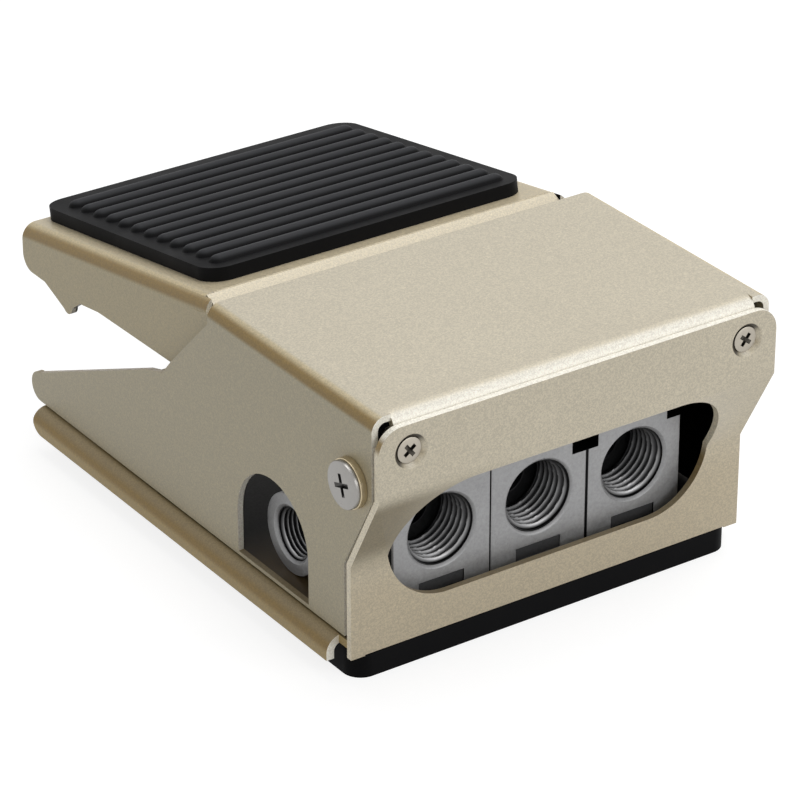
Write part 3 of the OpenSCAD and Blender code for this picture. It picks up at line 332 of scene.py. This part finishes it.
def rubber_material(name, dark, light, specular, lit_tops=None):
    """Moulded black rubber with a fine grain and a faint bloom, or lighter towards the tops along a
    direction as a painted highlight, leaving painted shade lower down.
    """
    mat, tree, shader = new_material(name, dark, 0.0, 0.58, specular)
    coords = place_coords(tree)
    bloom = noise(tree, coords, scale=90, detail=4, roughness=0.6)
    bloom_and_highlight = product(tree, bloom, 0.5)
    # Painted highlight: lighter towards the top along the given direction, darker below as painted shade.
    if lit_tops:
        direction, start, end = lit_tops
        height = add(tree, "ShaderNodeVectorMath", operation="DOT_PRODUCT")
        tree.links.new(coords, height.inputs[0])
        height.inputs[1].default_value = direction
        bloom_and_highlight = product(tree, ramp(tree, height.outputs["Value"], start, end), between(tree, bloom, 0.8, 1.0))
    tree.links.new(blend_colour(tree, bloom_and_highlight, dark, light), shader.inputs["Base Color"])
    tree.links.new(between(tree, bloom, 0.5, 0.64), shader.inputs["Roughness"])
    bump(tree, shader, noise(tree, coords, scale=2600, detail=3), strength=0.18, depth=0.05 * MM)
    return mat


def cast_material():
    """Blasted die-cast metal: grey, grainy, dark in the joints, with painted shade behind the front face and
    on faces turned away from it.
    """
    metallic = 0.55
    mat, tree, shader = new_material("cast_metal", (0.37, 0.37, 0.375), metallic, 0.5)
    coords = place_coords(tree)
    x, y, z = axes_of(tree, coords)
    toward_back = facing_axes(tree)[1]
    grain = noise(tree, coords, scale=2200, detail=4, roughness=0.7)
    cloud = noise(tree, coords, scale=160, detail=3)
    tone = blend_colour(tree, cloud, (0.33, 0.33, 0.335), (0.41, 0.41, 0.415))
    off = distance(tree, math_node(tree, "SUBTRACT", y, supply.y), math_node(tree, "SUBTRACT", z, supply.z))
    boss = product(tree, ramp(tree, off, BOSS_R + 1.6 * MM, BOSS_R + 1.2 * MM),
                   ramp(tree, x, -blocks_end - 0.3 * MM, -blocks_end - 0.6 * MM))
    not_boss = math_node(tree, "SUBTRACT", 1, boss)
    # Painted shade on every face behind the front face and every face turned away from it, except the side
    # port's boss.
    behind = product(tree, ramp(tree, y, block_low.y + 0.7 * MM, block_low.y + 2 * MM), not_boss)
    turned_away = product(tree, ramp(tree, toward_back, -0.6, -0.4), not_boss)
    dark = math_node(tree, "MAXIMUM", behind, turned_away)
    for joint, half_gap in ((block_high.x, 0.24 * MM), (block_low.x, 0.1 * MM)):
        off_joint = math_node(tree, "ABSOLUTE", math_node(tree, "SUBTRACT", x, joint))
        dark = math_node(tree, "MAXIMUM", dark, ramp(tree, off_joint, half_gap + 0.08 * MM, half_gap))
    # Painted shade: faces behind the front that face front, such as bore floors, are a little less dark than
    # the rest.
    facing_front = ramp(tree, toward_back, -0.8, -0.95)
    deep = blend_colour(tree, facing_front, (0.012, 0.012, 0.0125), (0.04, 0.04, 0.041))
    tone = blend_colour(tree, dark, tone, deep)
    # Metallic goes to 1 in the painted shade and the joints, so no diffuse light shows there.
    tree.links.new(between(tree, dark, metallic, 1.0, 0, 1), shader.inputs["Metallic"])
    tree.links.new(scaled_colour(tree, tone, between(tree, grain, 0.82, 1.12)), shader.inputs["Base Color"])
    tree.links.new(between(tree, grain, 0.42, 0.6), shader.inputs["Roughness"])
    bump(tree, shader, grain, strength=0.3, depth=0.08 * MM)
    return mat


def turned_material(name, dark, light, roughness, scale=700):
    """Bright metal with fine tool marks and handling marks, with painted shade in a screw's recess."""
    mat, tree, shader = new_material(name, light, 1.0, roughness)
    marks = noise(tree, place_coords(tree), scale, detail=4, roughness=0.65)
    # Painted shade in a screw's recess.
    recess_shade = tuple(0.3 * part for part in dark)
    tone = blend_colour(tree, attribute(tree, "recess"), blend_colour(tree, marks, dark, light), recess_shade)
    tree.links.new(tone, shader.inputs["Base Color"])
    tree.links.new(between(tree, marks, roughness - 0.07, roughness + 0.09), shader.inputs["Roughness"])
    bump(tree, shader, marks, strength=0.1, depth=0.03 * MM)
    return mat


def thread_material():
    """Cut thread: painted highlight on the crests low in the bore, which face up, and painted shade on the
    roots.
    """
    mat, tree, shader = new_material("cut_thread", (0.3, 0.3, 0.305), 1.0, 0.4)
    marks = noise(tree, place_coords(tree), scale=1500, detail=3)
    upward = between(tree, facing_axes(tree)[2], 0.3, 1.0, -0.1, 0.75)
    # Painted highlight on crests that face up; all else takes the near-black painted shade.
    crest = product(tree, attribute(tree, "crest"), upward)
    bright = blend_colour(tree, marks, (0.46, 0.46, 0.465), (0.66, 0.66, 0.665))
    tree.links.new(blend_colour(tree, crest, (0.02, 0.02, 0.021), bright), shader.inputs["Base Color"])
    tree.links.new(between(tree, marks, 0.33, 0.47), shader.inputs["Roughness"])
    return mat


def panel_material():
    """Dark floor of the recessed panels, left rough from the mould."""
    mat, tree, shader = new_material("panel_floor", (0.07, 0.07, 0.072), 0.2, 0.6)
    grain = noise(tree, place_coords(tree), scale=1800, detail=3, roughness=0.6)
    tone = blend_colour(tree, grain, (0.035, 0.035, 0.036), (0.075, 0.075, 0.077))
    tree.links.new(tone, shader.inputs["Base Color"])
    bump(tree, shader, grain, strength=0.4, depth=0.08 * MM)
    return mat


# Each paint's second colour is painted light on its sideways faces: painted shade on the hood, base and
# pedal, a painted highlight on the front plate's edges.
paint = paint_material("champagne_hood", (0.605, 0.545, 0.42), (0.47, 0.415, 0.285), cover_layers)
plate_paint = paint_material("champagne_plate", (0.655, 0.59, 0.455), (0.92, 0.83, 0.64), plate_layers)
base_paint = paint_material("champagne_base", (0.50, 0.385, 0.18), (0.44, 0.32, 0.13), cover_layers)
pedal_paint = paint_material("champagne_pedal", (0.585, 0.50, 0.34), (0.46, 0.39, 0.24), pedal_layers)
rubber = rubber_material("black_rubber", (0.0025, 0.0025, 0.003), (0.005, 0.005, 0.0055), 0.05)
# Painted highlight on the rib tops, painted shade in the valleys between the ribs.
pad_rubber = rubber_material("pad_rubber", (0.006, 0.006, 0.0065), (0.048, 0.049, 0.053), 0.07,
                             lit_tops=(pad_up, rib_top - 0.75 * MM, rib_top))
cast = cast_material()
zinc = turned_material("zinc_plate", (0.26, 0.25, 0.24), (0.37, 0.36, 0.34), 0.33)
steel = turned_material("ground_steel", (0.50, 0.50, 0.51), (0.64, 0.64, 0.65), 0.27)
brass = turned_material("turned_brass", (0.48, 0.40, 0.26), (0.65, 0.56, 0.39), 0.33)
screw_paint = turned_material("champagne_screw", (0.36, 0.33, 0.28), (0.50, 0.46, 0.39), 0.4, 900)
thread_metal = thread_material()
panel = panel_material()


# CAD nodes: finish and broken edges

FINISH = {"paint": paint, "rubber": rubber, "casting": cast, "zinc": zinc, "steel": steel, "brass": brass}
OWN_FINISH = {
    "front_plate": plate_paint, "base_plate": base_paint,
    "pedal_plate": pedal_paint, "pedal_pad": pad_rubber,
}
EDGE_WIDTH = {
    "hood": 0.22 * MM, "front_plate": 0.22 * MM, "base_plate": 0.25 * MM, "pedal_plate": 0.22 * MM,
    "rubber_mat": 0.5 * MM, "pedal_pad": 0.4 * MM, "pivot_bushes": 0.15 * MM,
    "valve_block_left": 0.2 * MM, "valve_block_centre": 0.2 * MM, "valve_block_right": 0.2 * MM,
}


def set_material(obj, mat):
    obj.data.materials.clear()
    obj.data.materials.append(mat)


def break_edges(obj, width):
    """Joins the flat faces' triangles, then rounds the edges between faces."""
    weld = obj.modifiers.new("join", "WELD")
    weld.merge_threshold = 0.001 * MM
    flat = obj.modifiers.new("flat_faces", "DECIMATE")
    flat.decimate_type = "DISSOLVE"
    flat.angle_limit = math.radians(0.5)
    bevel = obj.modifiers.new("edges", "BEVEL")
    bevel.width = width
    bevel.segments = 2
    bevel.limit_method = "ANGLE"
    bevel.angle_limit = math.radians(38)
    bevel.use_clamp_overlap = True
    normals = obj.modifiers.new("normals", "WEIGHTED_NORMAL")
    normals.keep_sharp = False


for part in frame["record"]["subparts"]:
    node = part["node"]
    set_material(frame["nodes"][node], OWN_FINISH.get(node, FINISH[part["material_slot"]]))
    if node in EDGE_WIDTH:
        break_edges(frame["nodes"][node], EDGE_WIDTH[node])


# Meshes of the new pieces

def show(name, mesh, mat, smooth=True):
    """Puts a mesh into the scene with its finish."""
    for poly in mesh.polygons:
        poly.use_smooth = smooth
    obj = bpy.data.objects.new(name, mesh)
    bpy.context.scene.collection.objects.link(obj)
    set_material(obj, mat)
    return obj


def discard(obj):
    mesh = obj.data
    bpy.data.objects.remove(obj)
    bpy.data.meshes.remove(mesh)


def new_object(name, verts, faces, mat, smooth=True):
    mesh = bpy.data.meshes.new(name)
    mesh.from_pydata(verts, [], faces)
    mesh.validate()
    bm = bmesh.new()
    bm.from_mesh(mesh)
    bmesh.ops.recalc_face_normals(bm, faces=bm.faces)
    bm.to_mesh(mesh)
    bm.free()
    return show(name, mesh, mat, smooth)


def on_circle(radius, turns):
    return radius * math.cos(2 * math.pi * turns), radius * math.sin(2 * math.pi * turns)


def turned(profile):
    """Solid of revolution about z from an (r, z) profile that starts and ends on the axis."""
    steps = 48
    verts, faces, rings = [], [], []
    for r, z in profile:
        count = steps if r else 1
        rings.append(range(len(verts), len(verts) + count))
        verts += [(*on_circle(r, k / steps), z) for k in range(count)]
    for a, b in zip(rings, rings[1:]):
        for k in range(steps):
            n = (k + 1) % steps
            if len(a) == 1:
                faces.append((a[0], b[k], b[n]))
            elif len(b) == 1:
                faces.append((a[k], b[0], a[n]))
            else:
                faces.append((a[k], b[k], b[n], a[n]))
    return verts, faces


def wedge(length, width, top, bottom, shrink):
    """Block about z that narrows from top down to bottom."""
    verts = []
    for z, scale in ((top, 1.0), (bottom, shrink)):
        verts += [(x * length / 2 * scale, y * width / 2 * (1 + scale) / 2, z)
                  for x, y in ((-1, -1), (1, -1), (1, 1), (-1, 1))]
    faces = [(0, 1, 2, 3), (7, 6, 5, 4)]
    faces += [(k, k + 4, (k + 1) % 4 + 4, (k + 1) % 4) for k in range(4)]
    return verts, faces


def cut(obj, cutter):
    mod = obj.modifiers.new("cut", "BOOLEAN")
    mod.operation = "DIFFERENCE"
    mod.solver = "EXACT"
    mod.object = cutter
    done = bpy.data.meshes.new_from_object(obj.evaluated_get(bpy.context.evaluated_depsgraph_get()))
    obj.modifiers.remove(mod)
    old = obj.data
    obj.data = done
    bpy.data.meshes.remove(old)
    discard(cutter)


def local_frame(origin, out, spin=0):
    """Puts local z along out at origin, turned about it by spin degrees."""
    turn = Vector(out).to_track_quat("Z", "Y").to_matrix().to_4x4()
    return Matrix.Translation(origin) @ turn @ Matrix.Rotation(math.radians(spin), 4, "Z")


# Screws with cross recesses

SHANK_R = 1.5 * MM
TIP_CHAMFER = 0.25 * MM
RECESS_TAPER = 0.42


def shank(top, length):
    """Profile from under the head to the tip."""
    return [(SHANK_R, top), (SHANK_R, TIP_CHAMFER - length), (SHANK_R - TIP_CHAMFER, -length), (0, -length)]


def cross_screw(name, profile, mat, span, width, depth):
    """Screw about z with its head's face at z = 0, and a cross recess sunk in it."""
    screw = new_object(name, *turned(profile), mat)
    for turn in (0, math.pi / 2):
        cutter = new_object(name + "_cutter", *wedge(span, width, 0.3 * depth, -depth, RECESS_TAPER), mat)
        cutter.data.transform(Matrix.Rotation(turn, 4, "Z"))
        cut(screw, cutter)
    floor, rim = -depth - 0.01 * MM, -0.05 * MM
    # Faces in the recess are marked for painted shade in the screw's finish.
    sunk = [float(poly.center.xy.length < span / 2 and floor < poly.center.z < rim)
            for poly in screw.data.polygons]
    screw.data.attributes.new("recess", "FLOAT", "FACE").data.foreach_set("value", sunk)
    return screw


def screw_set(node, template, places, mat):
    """Copies of a screw at each place, joined into one piece that stands for a CAD node."""
    bm = bmesh.new()
    for place in places:
        copy = template.data.copy()
        copy.transform(place)
        bm.from_mesh(copy)
        bpy.data.meshes.remove(copy)
    discard(template)
    mesh = bpy.data.meshes.new(node + "_cut")
    bm.to_mesh(mesh)
    bm.free()
    piece = show(node + "_cut", mesh, mat)
    mesh.set_sharp_from_angle(angle=math.radians(35))
    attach(piece, "housing")
    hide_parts(node)


def solids_of(node):
    """Low and high corners of a node's separate solids, sorted from left to right and then to the rear."""
    bm = bmesh.new()
    bm.from_mesh(frame["nodes"][node].data)
    bmesh.ops.remove_doubles(bm, verts=bm.verts, dist=0.0001 * MM)
    done, boxes = set(), []
    for seed in bm.verts:
        if seed in done:
            continue
        done.add(seed)
        waiting, points = [seed], []
        while waiting:
            vert = waiting.pop()
            points.append(vert.co.copy())
            linked = {edge.other_vert(vert) for edge in vert.link_edges} - done
            done |= linked
            waiting += linked
        boxes.append([Vector(pick(p[i] for p in points) for i in range(3)) for pick in (min, max)])
    bm.free()
    return sorted(boxes, key=lambda box: (round(box[0].x / MM), box[0].y))


def side_middle(box, out):
    """Middle of the side of a box that faces out."""
    low, high = box
    return Vector((low[i] + high[i] + out[i] * (high[i] - low[i])) / 2 for i in range(3))


def front_screws():
    """Countersunk screws in the front plate."""
    boxes, out = solids_of("front_screws"), (0, -1, 0)
    head_r, length = 2.3 * MM, boxes[0][1].y - boxes[0][0].y
    head = [(0, 0), (0.9 * head_r, -0.02 * MM), (head_r, -0.12 * MM), (head_r, -0.22 * MM)]
    profile = head + shank(-0.82 * MM, length)
    screw = cross_screw("front_screw", profile, screw_paint, span=3.0 * MM, width=0.8 * MM, depth=1.0 * MM)
    places = [local_frame(side_middle(box, out), out, spin) for box, spin in zip(boxes, (38, 52))]
    screw_set("front_screws", screw, places, screw_paint)


def pivot_screws():
    """Flat-headed screws at the hood's sides, the pedal's axle."""
    boxes = solids_of("pivot_screws")
    head_r, head_h, length = 4.2 * MM, 0.9 * MM, boxes[0][1].x - boxes[0][0].x
    head = [(0, 0), (head_r - 0.35 * MM, 0), (head_r - 0.1 * MM, -0.08 * MM), (head_r, -0.28 * MM),
            (head_r, 0.08 * MM - head_h), (head_r - 0.08 * MM, -head_h)]
    profile = head + shank(-head_h, length)
    screw = cross_screw("pivot_screw", profile, zinc, span=4.7 * MM, width=0.9 * MM, depth=0.75 * MM)
    sides = ((-1, 0, 0), (1, 0, 0))
    places = [local_frame(side_middle(box, out), out, spin=18) for box, out in zip(boxes, sides)]
    screw_set("pivot_screws", screw, places, zinc)


def base_screws(node):
    """Pan-head screws under the base."""
    boxes, out = solids_of(node), (0, 0, -1)
    head_r, head_h, length = 2.8 * MM, 1.9 * MM, boxes[0][1].z - boxes[0][0].z
    head = [(0, 0), (0.55 * head_r, -0.06 * MM), (0.82 * head_r, -0.28 * MM), (0.96 * head_r, -0.7 * MM),
            (head_r, -1.1 * MM), (head_r, -head_h)]
    profile = head + shank(-head_h, length)
    screw = cross_screw(node + "_one", profile, zinc, span=3.2 * MM, width=0.75 * MM, depth=1.1 * MM)
    places = [local_frame(side_middle(box, out), out, 17 + 31 * k) for k, box in enumerate(boxes)]
    screw_set(node, screw, places, zinc)


front_screws()
pivot_screws()
base_screws("hood_screws")
base_screws("body_screws")


# Springs

def coil_spring(node, wire, turns, axis):
    """Compression spring with closed ends in a node's place, wound along an axis."""
    steps, sides = 32, 12
    low, high = corners(node)
    length = high[axis] - low[axis]
    radius = (high.y - low.y - wire) / 2
    start = (low + high) / 2
    start[axis] = low[axis]
    place = Matrix.Translation(start)
    if axis == 0:
        place = place @ Matrix.Rotation(math.pi / 2, 4, "Y")
    rise, closed = length - wire, wire * 1.04
    verts, faces = [], []
    for i in range(turns * steps + 1):
        t = i / steps
        lift = closed + (t - 1) * (rise - 2 * closed) / (turns - 2)
        if t < 1:
            lift = t * closed
        elif t > turns - 1:
            lift = rise - (turns - t) * closed
        for j in range(sides):
            out, up = on_circle(wire / 2, j / sides)
            verts.append((*on_circle(radius + out, t), wire / 2 + lift + up))
    for i in range(0, turns * steps * sides, sides):
        for j in range(sides):
            n = (j + 1) % sides
            faces.append((i + j, i + sides + j, i + sides + n, i + n))
    last = turns * steps * sides
    faces += [tuple(range(sides)), tuple(range(last + sides - 1, last - 1, -1))]
    spring = new_object(node + "_coil", verts, faces, steel)
    spring.data.transform(place)
    spring.data.set_sharp_from_angle(angle=math.radians(60))
    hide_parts(node)
    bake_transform(spring)


coil_spring("pedal_spring", 1.0 * MM, 8, 2)
coil_spring("spool_spring", 0.6 * MM, 7, 0)


# Threads of the ports

QUARTER_INCH = {"pitch": 1.337 * MM, "crest_r": 5.73 * MM}
EIGHTH_INCH = {"pitch": 0.907 * MM, "crest_r": 4.28 * MM}
THREAD_SETBACK = 0.06 * MM


def thread_sleeve(name, mouth, out, length, root_r, crest_r, pitch):
    """Closed sleeve with a helical thread inside, from a bore's mouth inwards."""
    around, per_turn = 72, 12
    rows = round(length / pitch * per_turn)
    runout = 0.9 * pitch
    outer_r, inner_r = root_r - 0.01 * MM, root_r - 0.06 * MM
    verts, faces, crests = [], [], []
    for j in range(rows + 1):
        depth = length * j / rows
        full = max(0.0, min(1.0, depth / runout, (length - depth) / (0.4 * runout)))
        for k in range(around):
            phase = (depth / pitch + k / around) % 1.0
            ridge = min(1.0, max(0.0, 1.15 - 1.3 * abs(2 * phase - 1)))
            verts.append((*on_circle(inner_r - (inner_r - crest_r) * ridge * full, k / around), -depth))
            # Crest weight for the painted highlight, fading deeper in the bore as painted shade.
            crests.append(ridge ** 2 * (1 - 0.8 * depth / length))
    last, mouth_ring, end_ring = rows * around, len(verts), len(verts) + around
    for depth in (0.0, length):
        verts += [(*on_circle(outer_r, k / around), -depth) for k in range(around)]
        crests += [0.0] * around
    for j in range(0, last, around):
        for k in range(around):
            n = (k + 1) % around
            faces.append((j + k, j + n, j + around + n, j + around + k))
    for k in range(around):
        n = (k + 1) % around
        faces.append((k, mouth_ring + k, mouth_ring + n, n))
        faces.append((last + k, last + n, end_ring + n, end_ring + k))
        faces.append((mouth_ring + k, end_ring + k, end_ring + n, mouth_ring + n))
    sleeve = new_object(name, verts, faces, thread_metal)
    sleeve.data.set_sharp_from_angle(angle=math.radians(50))
    sleeve.data.attributes.new("crest", "FLOAT", "POINT").data.foreach_set("value", crests)
    sleeve.data.transform(local_frame(mouth, out))
    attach(sleeve, "housing")


for port in ports:
    centre, out = Vector(port["pos_m"]), Vector(port["axis"])
    root_r = port["dims"]["r_mm"] * MM
    half = port["dims"]["length_mm"] * MM / 2 - THREAD_SETBACK
    thread = EIGHTH_INCH if port["name"] == "side_port" else QUARTER_INCH
    thread_sleeve(port["name"] + "_thread", centre + out * half, out, 2 * half, root_r, **thread)


# Dark floors of the recessed panels under the front ports

PANEL_W = 9.2 * MM
PANEL_H = 2.4 * MM
PANEL_DEPTH = 0.4 * MM
PANEL_RISE = 2 * MM
FLOOR_T = 0.14 * MM


def panel_floor(name, x):
    """Thin plate with broken corners on a panel's floor."""
    gap, corner = 0.05 * MM, 0.1 * MM
    left, right = x - PANEL_W / 2 + gap, x + PANEL_W / 2 - gap
    low = base_high.z + PANEL_RISE + gap
    high = base_high.z + PANEL_RISE + PANEL_H - 2 * gap
    back = block_low.y + PANEL_DEPTH - 0.01 * MM
    outline = [(left + corner, low), (right - corner, low), (right, low + corner), (right, high - corner),
               (right - corner, high), (left + corner, high), (left, high - corner), (left, low + corner)]
    verts = [(px, y, pz) for y in (back - FLOOR_T, back) for px, pz in outline]
    n = len(outline)
    faces = [tuple(range(n)), tuple(range(2 * n - 1, n - 1, -1))]
    faces += [(k, (k + 1) % n, (k + 1) % n + n, k + n) for k in range(n)]
    floor_piece = new_object(name, verts, faces, panel, smooth=False)
    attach(floor_piece, "housing")


for port in ports:
    if port["name"] != "side_port":
        panel_floor(port["name"] + "_panel", port["pos_m"][0])


# Stage: floor, light, camera

def seen_directly(tree):
    """1 for camera, glossy and transmission rays."""
    path = add(tree, "ShaderNodeLightPath")
    direct = math_node(tree, "MAXIMUM", path.outputs["Is Camera Ray"], path.outputs["Is Glossy Ray"])
    return math_node(tree, "MAXIMUM", direct, path.outputs["Is Transmission Ray"])


def two_sided(tree, out, lighting, seen):
    """One shader for the light it gives to the object, another for what is seen of it."""
    mix = add(tree, "ShaderNodeMixShader")
    tree.links.new(seen_directly(tree), mix.inputs[0])
    tree.links.new(lighting.outputs[0], mix.inputs[1])
    tree.links.new(seen.outputs[0], mix.inputs[2])
    tree.links.new(mix.outputs[0], out.inputs["Surface"])


def floor_material():
    """White floor that keeps a soft shadow."""
    mat = bpy.data.materials.new("studio_floor")
    mat.use_nodes = True
    tree = mat.node_tree
    tree.nodes.clear()
    plain = add(tree, "ShaderNodeBsdfDiffuse", Color=(0.8, 0.8, 0.8, 1))
    shade = add(tree, "ShaderNodeBsdfDiffuse", Color=(0.34, 0.34, 0.34, 1))
    glow = add(tree, "ShaderNodeEmission", Color=(1, 1, 1, 1), Strength=0.84)
    white = add(tree, "ShaderNodeAddShader")
    tree.links.new(shade.outputs[0], white.inputs[0])
    tree.links.new(glow.outputs[0], white.inputs[1])
    two_sided(tree, add(tree, "ShaderNodeOutputMaterial"), plain, white)
    return mat


def studio_floor():
    reach = 4
    mesh = bpy.data.meshes.new("floor")
    square = [(-reach, -reach, 0), (reach, -reach, 0), (reach, reach, 0), (-reach, reach, 0)]
    mesh.from_pydata(square, [], [(0, 1, 2, 3)])
    show("floor", mesh, floor_material(), smooth=False)


def studio_world():
    world = bpy.data.worlds.new("studio")
    bpy.context.scene.world = world
    world.use_nodes = True
    tree = world.node_tree
    tree.nodes.clear()
    fill = add(tree, "ShaderNodeBackground", Color=(1, 1, 1, 1), Strength=0.29)
    white = add(tree, "ShaderNodeBackground", Color=(1, 1, 1, 1), Strength=1.0)
    two_sided(tree, add(tree, "ShaderNodeOutputWorld"), fill, white)


def area_light(name, place, size, power):
    aim = Vector((0, 0, 0.03))
    data = bpy.data.lights.new(name, "AREA")
    data.shape = "RECTANGLE"
    data.size, data.size_y = size
    data.energy = power
    lamp = bpy.data.objects.new(name, data)
    lamp.location = place
    lamp.rotation_euler = (aim - Vector(place)).to_track_quat("-Z", "Y").to_euler()
    bpy.context.scene.collection.objects.link(lamp)


def photo_camera(place, view, lens):
    data = bpy.data.cameras.new("camera")
    data.sensor_width = 36
    data.lens = lens
    data.clip_start = 0.01
    camera = bpy.data.objects.new("camera", data)
    camera.location = place
    camera.rotation_euler = Vector(view).to_track_quat("-Z", "Y").to_euler()
    bpy.context.scene.collection.objects.link(camera)
    bpy.context.scene.camera = camera


studio_floor()
studio_world()
area_light("key", place=(0.25, 0.15, 0.9), size=(0.7, 0.7), power=4.7)
area_light("front", place=(0.35, -0.9, 0.45), size=(0.6, 0.5), power=2.6)
photo_camera(place=(-0.3534, -0.5223, 0.3539), view=(0.4993, 0.7281, -0.4696), lens=181.1)
bpy.context.scene.view_settings.view_transform = "Standard"
